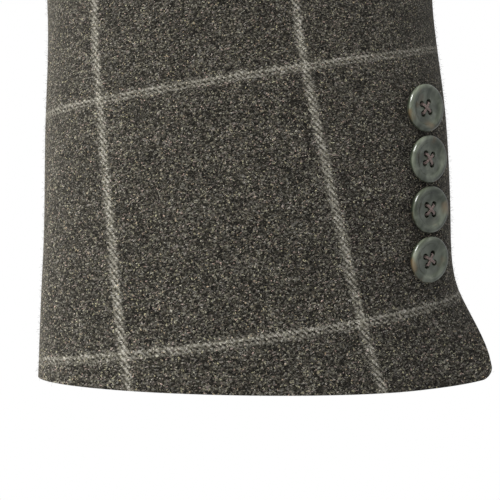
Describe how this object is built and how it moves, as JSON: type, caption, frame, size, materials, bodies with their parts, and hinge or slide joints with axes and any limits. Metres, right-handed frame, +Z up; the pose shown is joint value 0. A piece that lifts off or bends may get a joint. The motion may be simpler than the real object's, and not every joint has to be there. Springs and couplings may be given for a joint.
{
  "type": "overcoat",
  "caption": "Single-breasted knee-length overcoat with notch lapels, filled out as worn, its set-in sleeves ending in buttoned vents.",
  "frame": {"origin": "where the shoulders hold the coat up: the middle of the neck opening, level with the tops of the shoulder seams", "axes": "+Z up, -Y the way the wearer faces, +X the wearer's left"},
  "size_m": [1.0054, 0.3022, 1.0647],
  "materials": {
    "tweed": "charcoal brown woollen twill with a short nap and a pale windowpane check",
    "horn": "polished grey-green horn"
  },
  "bodies": {
    "root": {"front_left": "tweed", "front_right": "tweed", "back_left": "tweed", "back_right": "tweed", "lapel_left": "tweed", "lapel_right": "tweed", "collar": "tweed", "top_sleeve_left": "tweed", "under_sleeve_left": "tweed", "top_sleeve_right": "tweed", "under_sleeve_right": "tweed", "cuff_button_left_1": "horn", "cuff_button_left_2": "horn", "cuff_button_left_3": "horn", "cuff_button_left_4": "horn", "cuff_button_right_1": "horn", "cuff_button_right_2": "horn", "cuff_button_right_3": "horn", "cuff_button_right_4": "horn", "front_button_1": "horn", "front_button_2": "horn", "front_button_3": "horn"}
  },
  "joints": []
}
